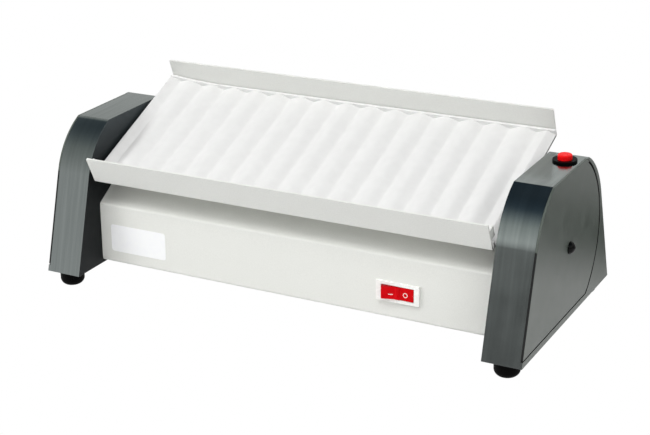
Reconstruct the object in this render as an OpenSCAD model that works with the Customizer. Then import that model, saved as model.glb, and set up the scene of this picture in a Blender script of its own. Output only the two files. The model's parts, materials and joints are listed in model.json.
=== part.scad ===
// Bench rocker for test tubes: a long tray rocks between two end pedestals that stand on a folded base cover.
// All lengths are millimetres. X runs along the rocking axis, the front is at -Y, the feet stand on Z = 0.

/* [Tray] */
// Length of the tray along the rocking axis
tray_l = 305; // [240:1:360]
// Depth of the tray's floor, from bend to bend
tray_d = 118.4; // [112:0.2:126]
// Height of the front and rear flanges, measured up the flange
flange_h = 21.9; // [19:0.1:28]
// Lean of the flanges out of square to the floor, in degrees
flange_lean = 1.5; // [0.5:0.1:4]
// Sheet thickness of the tray
tray_sheet = 1.2; // [0.9:0.1:1.5]
// Outer radius of the tray's bends
tray_bend_r = 1.9; // [1.8:0.1:2.6]
// Radius at the ends of the flanges' top edges
flange_corner_r = 0.8; // [0.4:0.2:4]
// Height of the upper edge of the tabs folded back from the ends of the front flange
end_tab_top = 16.4; // [14:0.2:18]
// Height of those tabs
end_tab_h = 8.2; // [6:0.2:9]
// Depth of those tabs, from the flange towards the rear
end_tab_d = 7; // [4:0.5:9]
// Height of the floor's underside above the rocking axis
tray_rise = 5.6; // [5.5:0.1:7]
// Tilt of the tray as it stands, rear edge up, and its tilt the other way at the stroke's end, in degrees
rest_tilt = 21.5; // [16:0.5:23]
// Gap between each end of the tray and its pedestal
tray_gap = 3; // [2.8:0.1:5]

/* [Tube mat] */
// Distance from ridge to ridge
ridge_pitch = 19; // [15:0.5:24]
// Rise of the ridges above the valleys
ridge_rise = 3; // [2:0.1:4]
// Thickness of the mat at the bottom of its valleys
valley_t = 1.6; // [1:0.1:2.4]
// Width of the plain rims along the mat's front and rear edges
rim_w = 2; // [1.5:0.5:6]
// Thickness of the mat at its rims
rim_t = 5; // [3:0.1:7]
// Clearance between the mat's front and rear edges and the tray's flanges
mat_gap = 0.2; // [0.1:0.1:0.8]
// Distance by which the mat reaches past the tray's ends
mat_overhang = 0.8; // [0:0.1:1.4]

/* [Pedestals] */
// Depth of a pedestal along its bottom edge
ped_base_d = 162.6; // [158:0.2:175]
// Depth of a pedestal's flat top
ped_top_d = 63; // [60:1:68]
// Height of a pedestal's top above the rocking axis
ped_over = 22.3; // [21:0.1:28]
// Thickness of a pedestal
ped_t = 27.4; // [27:0.1:32]
// Lean of the flat front and rear faces from upright, in degrees
flank_lean = 17; // [16:0.5:18]
// Height of the upper part of a pedestal, in which its front and rear faces curve in
crown_h = 33.5; // [30:0.5:36]
// Wall of the housings
ped_wall = 2; // [1.6:0.1:2.4]
// Height of the rocking axis above the bottom edge
pivot_h = 81.2; // [80:0.2:84]
// Distance from the rocking axis down to the crank's axis
crank_drop = 29.9; // [28.4:0.1:31]

/* [Side covers] */
// Thickness of the side covers
cover_t = 1.4; // [1:0.1:2]
// Slit between a cover and the edges of its housing
cover_slit = 0.1; // [0.05:0.05:0.5]
// Width of the housing's rim behind the cover's round edge, level with the crank
rear_rim_w = 8; // [6.6:0.2:9.6]
// Gap along the cover's round rear edge
arc_gap = 1.5; // [0.6:0.1:2]
// Gap along the cover's bottom edge
bottom_gap = 0.8; // [0.5:0.1:1.2]
// Height of the strip below the pedestal's top in which the cover closes the gap at its rear edge
ear_h = 3.6; // [2:0.2:5]
// Height of the cover's bottom edge above the housing's bottom edge
cover_lift = 5; // [4:0.5:7]
// Width of the lip behind the cover's edge
lip_w = 3; // [2:0.5:4]
// Diameter of the dome plug in the middle of a cover
plug_d = 8.6; // [7:0.2:12]
// Height of the plug's dome
plug_h = 3; // [2:0.2:3.4]

/* [Base] */
// Depth of the base cover along its bottom edge
base_d = 103; // [98:1:108]
// Distance from the rocking axis down to the upper bends of the front and rear panels
panel_drop = 35.5; // [33.4:0.1:39]
// Lean of the front and rear panels from upright, in degrees
panel_lean = 2.2; // [1:0.1:6]
// Pitch of the sloping top faces, in degrees
roof_pitch = 32; // [26:1:34]
// Depth of the flat top between the sloping faces
roof_flat_d = 47; // [44:1:54]
// Sheet thickness of the base cover and the base plate
base_sheet = 1.2; // [0.9:0.1:1.5]
// Outer radius of the base cover's bends
base_bend_r = 2.4; // [1.8:0.1:3.5]
// Depth of the lips turned in under the base
base_lip_d = 11; // [9:1:15]
// Height of the base cover above the pedestals' bottom edges
base_lift = 1.8; // [1.6:0.1:4]
// Height of the flanges at the ends of the base plate
plate_flange_h = 24; // [22:1:26]

/* [Feet] */
// Diameter of a foot
foot_d = 17.3; // [15:0.1:20]
// Height of a foot
foot_h = 11; // [9:0.5:14]
// Radius of the round lower edge of a foot
foot_round_r = 5; // [3:0.5:6]
// Distance from a foot's centre to the pedestal's bottom edge
foot_inset = 10.3; // [9:0.1:16]

/* [Power switch] */
// Width of the switch bezel
bezel_w = 31.5; // [30:0.5:34]
// Height of the switch bezel
bezel_h = 13.8; // [13.6:0.2:16]
// Thickness of the switch bezel
bezel_t = 1.9; // [1.2:0.1:2.4]
// Width of the rocker
rocker_w = 23.6; // [21:0.2:24.6]
// Height of the rocker
rocker_h = 9; // [8:0.2:9.4]
// Tilt of the rocker to each side, in degrees
rocker_tilt = 8; // [6:0.5:9]
// Distance of the switch to the right of the middle
switch_x = 83.8; // [40:0.2:90]
// Height of the switch's centre up the front panel
switch_up = 19.4; // [15:0.2:22]

/* [Push button] */
// Diameter of the black collar
collar_d = 16.3; // [15.4:0.1:17]
// Thickness of the collar above the pedestal's top
collar_t = 1.5; // [1:0.1:2]
// Diameter of the red button
button_d = 9.6; // [8.8:0.1:10.8]
// Height of the button above its collar
button_rise = 3.2; // [2.6:0.1:5]
// Travel of the button
button_travel = 2; // [1:0.1:2.2]
// Distance of the button behind the middle of the pedestal's top
button_y = 18; // [17.4:0.2:19]
// Distance of the button outwards from the middle of the pedestal's thickness
button_out = 1.9; // [1:0.1:2.4]

/* [Drive] */
// Diameter of the tray's axles
axle_d = 8; // [6:0.5:8]
// Running clearance of a shaft in its bush, on the radius
running_gap = 0.05; // [0.03:0.01:0.08]
// Clearance of fixed fits, on the radius
fixed_gap = 0.03; // [0.02:0.01:0.05]
// Outer diameter of the bushes
bush_d = 12; // [11.5:0.5:13]
// Length of the bushes from the pedestal's inner face
bush_l = 9; // [7:0.5:10]
// Diameter of the gear motor
motor_d = 49; // [46:1:50]
// Length of the gear motor
motor_t = 13.4; // [12:0.1:13.6]
// Offset of the motor's body below its output shaft
motor_drop = 9.5; // [8:0.5:11]
// Diameter of the motor's output shaft
shaft_d = 7; // [5:0.5:8]
// Thickness of the crank disc
disc_t = 3; // [2:0.1:3.1]
// Diameter of the crank pin
pin_d = 6; // [4:0.5:7]
// Thickness of the slotted drive arm
arm_t = 2.5; // [1.5:0.1:2.6]
// Room beside the crank pin in the arm's slot, on each side
slot_play = 1; // [0.95:0.05:1.2]
// Width of the arm beside its slot
arm_rail = 4; // [3:0.5:4.5]

/* [Power inlet] */
// Width of the inlet's flange
inlet_w = 31; // [30:0.5:34]
// Height of the inlet's flange
inlet_h = 24; // [23:0.5:26]
// Distance of the inlet from the middle, towards the motor's end
inlet_x = 112; // [80:1:125]
// Distance of the inlet's centre below the middle of the rear panel
inlet_drop = 2; // [0:0.5:4]

/* [Hidden] */

// Number of sides that a preview gives a round face
$fn = 96;
// Overrun of a cut past the face that it opens
over = 0.5;
// Points along a bend of sheet metal
bend_steps = 8;

// Colours
graphite = "#4a4e4f";
cover_grey = "#5f6562";
light_grey = "#e2e3dd";
tray_grey = "#dddeda";
mat_white = "#f1f1ee";
rubber_black = "#1a1a1a";
steel = "#b9bcc0";
zinc = "#a6a9ac";
brass = "#c9a85a";
switch_white = "#f4f4ef";
signal_red = "#e0141e";
soft_black = "#222222";

// Distance between the pedestals' inner faces, and where the main levels lie
bay_w = tray_l + 2 * tray_gap;
axis_z = foot_h + pivot_h;
base_z = foot_h + base_lift;
ped_half = ped_base_d / 2;
ped_h = pivot_h + ped_over;
knee_h = ped_h - crown_h;
crank_h = pivot_h - crank_drop;
panel_h = pivot_h - base_lift - panel_drop;
cover_arc_r = flank_y(0, crank_h) - rear_rim_w;

// Levels through the thickness of a pedestal, from its inner face outwards
cover_in_x = ped_t - cover_t;
lip_out_x = cover_in_x - cover_slit;
lip_t = 2;
lip_in_x = lip_out_x - lip_t;
foot_x = ped_t / 2;
foot_y = ped_half - foot_inset;

// Screws: shank, head and head height of the small and the medium size
small_screw_d = 3;
small_head_d = 5.6;
small_head_h = 2;
medium_screw_d = 4;
medium_head_d = 7.6;
medium_head_h = 2.6;
screw_gap = 0.2;
drive_slot_w = 0.9;
drive_slot_depth_share = 0.45;

// Tray brackets
bracket_t = 1.5;
bracket_w = 44;
bracket_foot_d = 22;
bracket_eye_r = 9;
bracket_screw_y = 14;
bracket_screw_in = 13;
nut_af = 5.5;
nut_t = 2.2;
nut_gap = 0.1;

// Axles, clip and washers
axle_head_t = 2;
axle_head_rim = 1.2;
axle_head_gap = 0.4;
axle_head_half = axle_d / 2 + axle_head_rim + axle_head_gap;
bush_flange_t = 1.3;
bush_flange_d = 15;
boss_d = 17.6;
washer_t = 1.2;
washer_d = 10.6;
clip_t = 1;
clip_gap = 0.2;
clip_groove_depth = 0.8;
clip_rim = 2.6;
axle_tip = 2;

// Crank and arm: the throw makes the pin reach the tray's tilt, and the crank stands at its swing
crank_swing = 48;
crank_throw = crank_drop * sin(rest_tilt);
disc_rim = 5.6;
disc_r = crank_throw + disc_rim;
arm_out_gap = 0.9;
arm_in_x = lip_out_x - arm_t - arm_out_gap;
disc_gap = 0.5;
disc_out_x = arm_in_x - disc_gap;
disc_in_x = disc_out_x - disc_t;
disc_hole_d = 5;
disc_hole_count = 3;
disc_hole_step = 72;
pin_foot_d = pin_d - 1;
pin_over = 0.3;
hub_d = 15;
hub_l = 7.5;
slot_w = pin_d + 2 * slot_play;
slot_start = crank_drop - crank_throw;
slot_end = crank_drop + crank_throw;

// Gear motor
motor_back_gap = 0.3;
motor_in_x = ped_wall + motor_back_gap;
motor_out_x = motor_in_x + motor_t;
motor_z = crank_h - motor_drop;
motor_plate_t = 1;
motor_ear_y = 29.5;
motor_ear_r = 5;
motor_ear_turn = 30;
motor_boss_d = 13;
motor_boss_t = 1.3;
motor_bore_depth = 6;
motor_step_d = 44;
motor_step_t = 5;
terminal_w = 16;
terminal_h = 6;
terminal_t = 7;
terminal_turn = 50;
post_af = 6;

// Base plate and the screws that hold the frame together
plate_gap = 0.4;
plate_screw_x_share = 0.78;
plate_screw_y_share = 0.6;
plate_screw_tip = 0.6;
frame_screw_in = 13.5;
frame_screw_y = base_d / 2 - frame_screw_in;
frame_screw_z = 16;
wire_over = 5;
wire_y = 35;
wire_z = base_lift + base_sheet + plate_flange_h + wire_over;
wire_hole_d = 6;
grommet_rim = 1.4;
grommet_t = 1.2;

// Side covers: seats and snap tabs
seat_d = 2.4;
seat_angles = [-35, 0, 30];
seat_shares = [-0.75, -0.25];
tab_shares = [-0.5, 0];
ear_gap = 0.1;
tab_w = 10;
tab_t = 1.2;
tab_gap = 0.3;
barb = 0.9;
plug_stem_d = 5;
plug_flange_t = 0.6;
plug_stem_out = 0.6;

// Power switch
switch_cut_gap = 0.2;
switch_side = 1.5;
switch_depth = 15;
rocker_gap = 0.25;
rocker_axis_in = 2.2;
rocker_edge_out = 1.9;
rocker_middle_in = 0.2;
rocker_core_r = 3;
rocker_pin_d = 1.6;
rocker_pin_l = 0.8;
lug_w = 4.8;
lug_t = 0.8;
lug_l = 7;
lug_pitch = 9;

// Push button
barrel_d = 13.6;
barrel_gap = 0.15;
barrel_l = 19;
barrel_floor = 1.4;
button_gap = 0.2;
button_edge = 0.5;
button_nut_af = 16;
button_nut_t = 3.4;
spring_wire = 0.8;
spring_r = 3.6;
spring_turns = 5;
spring_spare = 3;
spring_room = spring_turns * spring_wire + spring_spare * button_travel;
button_body_l = collar_t + button_rise + barrel_l - barrel_floor - spring_room;
spring_steps = 14;
spring_sides = 6;

// Power inlet: an inlet of the usual three-pin size
inlet_up = panel_h / 2 - inlet_drop;
inlet_flange_t = 2.4;
inlet_body_w = 27;
inlet_body_h = 19.6;
inlet_depth = 17;
inlet_cut_gap = 0.2;
socket_w = 24.2;
socket_h = 16.4;
socket_depth = 15;
socket_chamfer = 5;
pin_blade_w = 2;
pin_blade_h = 4;
pin_blade_l = 16;
pin_spread = 7;
pin_rise = 2;
pin_recess = 6;

// Helpers for outlines of folded sheet
function unit(v) = v / norm(v);
function turned(v) = [-v[1], v[0]];
// Corner of a line that runs t to the left of the corner a, b, c
function mitred(a, b, c, t) =
    let (n = turned(unit(b - a)), m = unit(n + turned(unit(c - b))))
    b + m * t / (m * n);
// A line of corners moved t to its left
function shifted(p, t) =
    let (last = len(p) - 1)
    [for (i = [0:last])
        i == 0 ? p[0] + turned(unit(p[1] - p[0])) * t
        : i == last ? p[last] + turned(unit(p[last] - p[last - 1])) * t
        : mitred(p[i - 1], p[i], p[i + 1], t)];
// Points of a round corner of radius r at b
function bend(a, b, c, r) =
    let (
        u = unit(a - b),
        w = unit(c - b),
        half = acos(u * w) / 2,
        o = b + unit(u + w) * r / sin(half),
        v = b + u * r / tan(half) - o,
        sweep = (cross(b - a, c - b) > 0 ? 1 : -1) * (180 - 2 * half))
    [for (i = [0:bend_steps])
        let (g = sweep * i / bend_steps)
        o + [v[0] * cos(g) - v[1] * sin(g), v[0] * sin(g) + v[1] * cos(g)]];
function rounded(p, r) =
    concat([p[0]], [for (i = [1:len(p) - 2]) each bend(p[i - 1], p[i], p[i + 1], r)], [p[len(p) - 1]]);
function reversed(p) = [for (i = [len(p) - 1:-1:0]) p[i]];
// Closed outline of a sheet of thickness t that lies to the left of a line of outer corners
function folded(p, t, r) = concat(rounded(p, r), reversed(rounded(shifted(p, t), r - t)));

// An outline drawn in Y and Z, pushed out along X from x0 by h
module along_x(x0, h) {
    translate([x0, 0, 0]) rotate([90, 0, 90]) linear_extrude(height = h) children();
}
// An outline drawn in X and Z, pushed out along Y, centred on Y = 0
module along_y(h) {
    translate([0, h / 2, 0]) rotate([90, 0, 0]) linear_extrude(height = h) children();
}
// A round bar along X from x0 to x1
module bar_x(x0, x1, d) {
    translate([x0, 0, 0]) rotate([0, 90, 0]) cylinder(d = d, h = x1 - x0);
}
module mirrored_y() {
    children();
    mirror([0, 1, 0]) children();
}
module mirrored_x() {
    children();
    mirror([1, 0, 0]) children();
}
// Frames: a pedestal's own frame starts at its inner face and bottom edge, with X outwards
module on_right() {
    translate([bay_w / 2, 0, foot_h]) children();
}
module on_left() {
    mirror([1, 0, 0]) on_right() children();
}
// The tray's own frame has its origin on the rocking axis and its floor level
module on_tray() {
    translate([0, 0, axis_z]) rotate([rest_tilt, 0, 0]) children();
}
// A frame on the outer face of the front panel, with Z up the panel and -Y out of it
module on_front_panel() {
    translate([0, -base_d / 2, base_z]) rotate([-panel_lean, 0, 0]) children();
}
// The same on the rear panel, with -Y out of the panel
module on_rear_panel() {
    mirror([0, 1, 0]) on_front_panel() children();
}
// A slotted pan-head screw along X: its head's outer face at x, its shank towards +X
module pan_screw(d, head_d, head_h, shank_l) {
    difference() {
        bar_x(-head_h, 0, head_d);
        translate([-head_h - over, -drive_slot_w / 2, -head_d])
            cube([over + head_h * drive_slot_depth_share, drive_slot_w, 2 * head_d]);
    }
    bar_x(0, shank_l, d);
}

// Side outline of a pedestal, moved in by i: flat leaning flanks, arcs above the knees, a flat top
function flank_y(i, z) = ped_half - i / cos(flank_lean) - z * tan(flank_lean);
knee = [flank_y(0, knee_h), knee_h];
knee_chord = [ped_top_d / 2, ped_h] - knee;
knee_in = [-cos(flank_lean), -sin(flank_lean)];
knee_r = (knee_chord * knee_chord) / (2 * (knee_chord * knee_in));
knee_centre = knee + knee_in * knee_r;
function top_y(i) = knee_centre[0] + sqrt(pow(knee_r - i, 2) - pow(ped_h - i - knee_centre[1], 2));

module pedestal_outline(i = 0) {
    top = ped_h - i;
    knee_i = knee_centre - knee_in * (knee_r - i);
    difference() {
        polygon([
            [-flank_y(i, i), i], [flank_y(i, i), i],
            [flank_y(i, top), top], [-flank_y(i, top), top]]);
        mirrored_corner() difference() {
            polygon([knee_i, [knee_i[0], top] + [over, over], [top_y(i), top + over], [top_y(i), top]]);
            translate(knee_centre) circle(r = knee_r - i);
        }
    }
}
module mirrored_corner() {
    children();
    mirror([1, 0]) children();
}
// What a side cover's outline keeps from the height z up: all of the front, and a disc about the crank's axis
module cover_field(z, r) {
    intersection() {
        union() {
            translate([0, crank_h]) circle(r = r);
            translate([-ped_base_d, 0]) square([ped_base_d, ped_base_d]);
        }
        translate([-ped_base_d, z]) square([2 * ped_base_d, ped_base_d]);
    }
}

module pedestal_housing() {
    difference() {
        union() {
            difference() {
                along_x(0, ped_t) pedestal_outline();
                along_x(ped_wall, lip_in_x - ped_wall) pedestal_outline(ped_wall);
                along_x(lip_in_x - over, lip_t + 2 * over) intersection() {
                    pedestal_outline(ped_wall);
                    cover_field(cover_lift + lip_w, cover_arc_r - lip_w);
                }
                along_x(lip_out_x, ped_t) cover_field(cover_lift - bottom_gap, cover_arc_r + arc_gap);
            }
            translate([0, 0, pivot_h]) bar_x(ped_wall / 2, bush_l - bush_flange_t / 2, boss_d);
            cover_seats();
        }
        translate([0, 0, pivot_h]) bar_x(-over, bush_l + over, bush_d + 2 * fixed_gap);
        mirrored_y() translate([0, frame_screw_y, frame_screw_z])
            bar_x(-over, ped_wall + over, medium_screw_d + 2 * screw_gap);
        mirrored_y() translate([foot_x, foot_y, -over])
            cylinder(d = medium_screw_d + 2 * screw_gap, h = ped_wall + 2 * over);
    }
}
// Small raised seats on the lip, which hold the cover off by the slit
module cover_seats() {
    seat_r = cover_arc_r - lip_w / 2;
    for (a = seat_angles)
        translate([0, seat_r * cos(a), crank_h + seat_r * sin(a)])
            bar_x(lip_out_x - lip_t / 2, cover_in_x, seat_d);
    for (y_share = seat_shares)
        translate([0, y_share * ped_half, cover_lift + lip_w / 2])
            bar_x(lip_out_x - lip_t / 2, cover_in_x, seat_d);
}

module right_housing() {
    color(graphite) on_right() difference() {
        pedestal_housing();
        translate([ped_t / 2 + button_out, button_y, ped_h - ped_wall - over])
            cylinder(d = barrel_d + 2 * barrel_gap, h = ped_wall + 2 * over);
        translate([0, wire_y, wire_z]) bar_x(-over, ped_wall + over, wire_hole_d);
        ear_places() bar_x(-over, ped_wall + over, small_screw_d + 2 * screw_gap);
    }
}
module left_housing() {
    color(graphite) on_left() pedestal_housing();
}

// Side cover with its snap tabs behind the lip
module side_cover() {
    difference() {
        union() {
            along_x(cover_in_x, cover_t) intersection() {
                pedestal_outline();
                union() {
                    cover_field(cover_lift, cover_arc_r);
                    cover_field(ped_h - ear_h, cover_arc_r + arc_gap - ear_gap);
                }
            }
            for (y_share = tab_shares)
                translate([0, y_share * ped_half, cover_lift + lip_w + tab_gap]) bottom_tab();
            rear_tab();
        }
        translate([0, 0, crank_h]) bar_x(cover_in_x - over, ped_t + over, plug_stem_d + 2 * screw_gap);
    }
}
module bottom_tab() {
    tab_l = cover_slit + lip_t + tab_gap + barb;
    translate([cover_in_x - tab_l, -tab_w / 2, 0]) cube([tab_l + cover_t / 2, tab_w, tab_t]);
    translate([cover_in_x - tab_l, -tab_w / 2, -barb]) cube([barb, tab_w, barb + tab_t / 2]);
}
module rear_tab() {
    tab_l = cover_slit + lip_t + tab_gap + barb;
    tab_r = cover_arc_r - lip_w - tab_gap;
    along_x(cover_in_x - tab_l, tab_l + cover_t / 2) rear_sector(tab_r);
    along_x(cover_in_x - tab_l, barb) rear_sector(tab_r + barb);
}
module rear_sector(r) {
    intersection() {
        translate([0, crank_h]) difference() {
            circle(r = r);
            circle(r = cover_arc_r - lip_w - tab_gap - tab_t);
        }
        translate([0, crank_h - tab_w / 2]) square([ped_base_d, tab_w]);
    }
}
module right_cover() {
    color(cover_grey) on_right() side_cover();
}
module left_cover() {
    color(cover_grey) on_left() side_cover();
}

// Dome plugs that close the hole in the middle of each cover
module cover_plugs() {
    color(rubber_black) mirrored_x() on_right() translate([0, 0, crank_h]) plug();
}
module plug() {
    dome_r = (pow(plug_d / 2, 2) + pow(plug_h, 2)) / (2 * plug_h);
    rotate([0, 90, 0]) rotate_extrude() {
        translate([0, cover_in_x - plug_stem_out])
            square([plug_stem_d / 2, cover_t + plug_stem_out + plug_flange_t / 2]);
        intersection() {
            translate([0, ped_t + plug_flange_t + plug_h - dome_r]) circle(r = dome_r);
            translate([0, ped_t]) square([plug_d / 2, plug_flange_t + plug_h + over]);
        }
    }
}

// Base cover: one folded sheet with leaning panels, sloping top faces and lips turned in below
roof_run = base_d / 2 - panel_h * tan(panel_lean) - roof_flat_d / 2;
roof_z = panel_h + roof_run * tan(roof_pitch);
function base_half(z) = base_d / 2 - z * tan(panel_lean);
function base_corners() =
    let (side = [
        [base_d / 2 - base_lip_d, 0], [base_d / 2, 0],
        [base_half(panel_h), panel_h], [roof_flat_d / 2, roof_z]])
    concat(side, reversed([for (p = side) [-p[0], p[1]]]));

module base_cover() {
    color(light_grey) difference() {
        translate([0, 0, base_z]) along_x(-bay_w / 2, bay_w)
            polygon(folded(base_corners(), base_sheet, base_bend_r));
        on_front_panel() translate([switch_x, 0, switch_up])
            cube([bezel_w - 2 * switch_side, 2 * bezel_t + 2 * base_sheet, bezel_h - switch_side],
                center = true);
        on_rear_panel() translate([inlet_x, 0, inlet_up])
            cube([inlet_body_w + 2 * inlet_cut_gap, 2 * inlet_flange_t + 2 * base_sheet,
                inlet_body_h + 2 * inlet_cut_gap], center = true);
        plate_screw_places() cylinder(d = small_screw_d + 2 * screw_gap, h = 3 * base_sheet, center = true);
    }
}
// Places of the screws through the lips and the base plate
module plate_screw_places() {
    for (x_share = [-plate_screw_x_share, 0, plate_screw_x_share])
        mirrored_y() translate([x_share * bay_w / 2, base_d / 2 - plate_screw_y_share * base_lip_d, base_z])
            children();
}
// Base plate: it lies on the lips and turns up at its ends
module base_plate() {
    half_w = bay_w / 2 - plate_gap;
    half_d = base_half(base_sheet) - base_bend_r - plate_gap;
    flange_half = base_half(plate_flange_h) - 2 * base_sheet - plate_gap;
    color(zinc) difference() {
        translate([0, 0, base_z]) union() {
            translate([-half_w, -half_d, base_sheet]) cube([2 * half_w, 2 * half_d, base_sheet]);
            mirrored_x() translate([half_w - base_sheet, -flange_half, base_sheet])
                cube([base_sheet, 2 * flange_half, plate_flange_h]);
        }
        plate_screw_places() cylinder(d = small_screw_d, h = 6 * base_sheet, center = true);
        mirrored_x() on_right() mirrored_y() translate([0, frame_screw_y, frame_screw_z])
            bar_x(-4 * base_sheet, 0, medium_screw_d);
    }
}
module plate_screws() {
    color(steel) plate_screw_places() rotate([0, -90, 0])
        pan_screw(small_screw_d - 2 * fixed_gap, small_head_d, small_head_h / 2,
            2 * base_sheet + plate_screw_tip);
}
// Screws from inside the pedestals into the base plate's end flanges
module frame_screws() {
    color(steel) mirrored_x() on_right() mirrored_y() translate([ped_wall, frame_screw_y, frame_screw_z])
        mirror([1, 0, 0]) pan_screw(medium_screw_d - 2 * fixed_gap, medium_head_d, medium_head_h,
            ped_wall + plate_gap + 3 * base_sheet);
}

// Feet: round rubber blocks with a well rounded lower edge, held by screws from inside the pedestals
module foot_places() {
    mirrored_x() mirrored_y() translate([bay_w / 2 + foot_x, foot_y, 0]) children();
}
module feet() {
    flat_r = foot_d / 2 - foot_round_r;
    color(rubber_black) foot_places() difference() {
        rotate_extrude() {
            square([flat_r, foot_h]);
            translate([0, foot_round_r]) square([foot_d / 2, foot_h - foot_round_r]);
            intersection() {
                translate([flat_r, foot_round_r]) circle(r = foot_round_r);
                square([foot_d, foot_h]);
            }
        }
        translate([0, 0, foot_h / 2]) cylinder(d = medium_screw_d, h = foot_h);
    }
}
module foot_screws() {
    color(steel) foot_places() translate([0, 0, foot_h + ped_wall]) rotate([0, 90, 0])
        pan_screw(medium_screw_d - 2 * fixed_gap, medium_head_d, medium_head_h,
            ped_wall + foot_h / 2 - fixed_gap);
}

// Tray: one folded sheet, with small tabs at the ends of its front flange
module tray_pan() {
    flange = [flange_h * sin(flange_lean), flange_h * cos(flange_lean)];
    corners = [
        [-tray_d / 2 - flange[0], tray_rise + flange[1]], [-tray_d / 2, tray_rise],
        [tray_d / 2, tray_rise], [tray_d / 2 + flange[0], tray_rise + flange[1]]];
    color(tray_grey) on_tray() difference() {
        union() {
            along_x(-tray_l / 2, tray_l) polygon(folded(corners, tray_sheet, tray_bend_r));
            mirrored_x() end_tab();
        }
        mirrored_x() mirrored_y() flange_corner_cut();
        tray_screw_places() {
            cylinder(d = small_screw_d + 2 * screw_gap, h = 4 * tray_sheet, center = true);
            countersink(screw_gap);
        }
    }
}
module end_tab() {
    translate([tray_l / 2 - tray_sheet, -tray_d / 2, tray_rise]) rotate([flange_lean, 0, 0])
        translate([0, tray_sheet / 2, end_tab_top - end_tab_h])
        cube([tray_sheet, end_tab_d - tray_sheet / 2, end_tab_h]);
}
module flange_corner_cut() {
    r = flange_corner_r;
    translate([tray_l / 2, tray_d / 2, tray_rise]) rotate([-flange_lean, 0, 0])
        translate([-r, 0, flange_h - r]) rotate([90, 0, 0])
        linear_extrude(height = 4 * tray_sheet, center = true) difference() {
            square(r + over);
            circle(r = r);
        }
}
// Places of the screws that hold the tray on its end brackets, at the floor's underside
module tray_screw_places() {
    mirrored_x() mirrored_y()
        translate([tray_l / 2 - bracket_screw_in, bracket_screw_y, tray_rise]) children();
}
module countersink(gap) {
    cylinder(d1 = small_screw_d + 2 * gap, d2 = small_head_d + 2 * gap, h = tray_sheet);
    translate([0, 0, tray_sheet]) cylinder(d = small_head_d + 2 * gap, h = gap);
}
// Mat: round-topped ridges along the depth of the tray, with plain rims at the front and rear
ridge_count = floor(tray_l / ridge_pitch);
ridge_r = (pow(ridge_pitch / 2, 2) + pow(ridge_rise, 2)) / (2 * ridge_rise);
module tube_mat() {
    mat_l = tray_l + 2 * mat_overhang;
    mat_d = tray_d - 2 * (tray_sheet + mat_gap);
    rim_bevel = tray_bend_r - tray_sheet;
    ridge_top = valley_t + ridge_rise;
    color(mat_white) on_tray() translate([0, 0, tray_rise + tray_sheet]) union() {
        along_y(mat_d - rim_w) intersection() {
            translate([-mat_l / 2, 0]) square([mat_l, ridge_top]);
            for (i = [-1:ridge_count])
                translate([(i - (ridge_count - 1) / 2) * ridge_pitch, ridge_top - ridge_r])
                    circle(r = ridge_r);
        }
        mirrored_y() along_x(-mat_l / 2, mat_l) polygon([
            [mat_d / 2 - rim_w, 0], [mat_d / 2 - rim_bevel, 0], [mat_d / 2, rim_bevel],
            [mat_d / 2, rim_t], [mat_d / 2 - rim_w, rim_t]]);
    }
}
// End bracket: a foot under the tray's floor and an eye for the axle
module tray_bracket() {
    difference() {
        union() {
            along_x(tray_l / 2 - bracket_t, bracket_t) {
                circle(r = bracket_eye_r);
                polygon([
                    [-bracket_w / 2, tray_rise], [-bracket_w / 2, tray_rise - bracket_t],
                    [-bracket_eye_r, 0], [bracket_eye_r, 0],
                    [bracket_w / 2, tray_rise - bracket_t], [bracket_w / 2, tray_rise]]);
            }
            translate([tray_l / 2 - bracket_foot_d, -bracket_w / 2, tray_rise - bracket_t])
                cube([bracket_foot_d, bracket_w, bracket_t]);
        }
        translate([0, -bracket_w / 2, tray_rise]) cube([tray_l, bracket_w, bracket_eye_r]);
        translate([tray_l / 2 - bracket_t - axle_head_t - axle_head_gap, -axle_head_half, 0])
            cube([axle_head_t + axle_head_gap, 2 * axle_head_half, tray_rise + over]);
        bar_x(tray_l / 2 - bracket_t - over, tray_l / 2 + over, axle_d + 2 * fixed_gap);
        mirrored_y() translate([tray_l / 2 - bracket_screw_in, bracket_screw_y, 0])
            cylinder(d = small_screw_d + 2 * screw_gap, h = tray_rise + over);
    }
}
module right_tray_bracket() {
    color(zinc) on_tray() tray_bracket();
}
module left_tray_bracket() {
    color(zinc) on_tray() mirror([1, 0, 0]) tray_bracket();
}
module tray_screws() {
    shank_l = tray_sheet + bracket_t + nut_t + nut_gap;
    color(steel) on_tray() tray_screw_places() {
        countersunk_head();
        translate([0, 0, tray_sheet - shank_l]) cylinder(d = small_screw_d, h = shank_l - tray_sheet / 2);
    }
}
module countersunk_head() {
    cylinder(d1 = small_screw_d, d2 = small_head_d, h = tray_sheet);
}
module tray_nuts() {
    color(steel) on_tray() tray_screw_places() translate([0, 0, -bracket_t - nut_t]) difference() {
        cylinder(d = nut_af / cos(30), h = nut_t, $fn = 6);
        translate([0, 0, -over]) cylinder(d = small_screw_d + 2 * fixed_gap, h = nut_t + 2 * over);
    }
}

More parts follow.
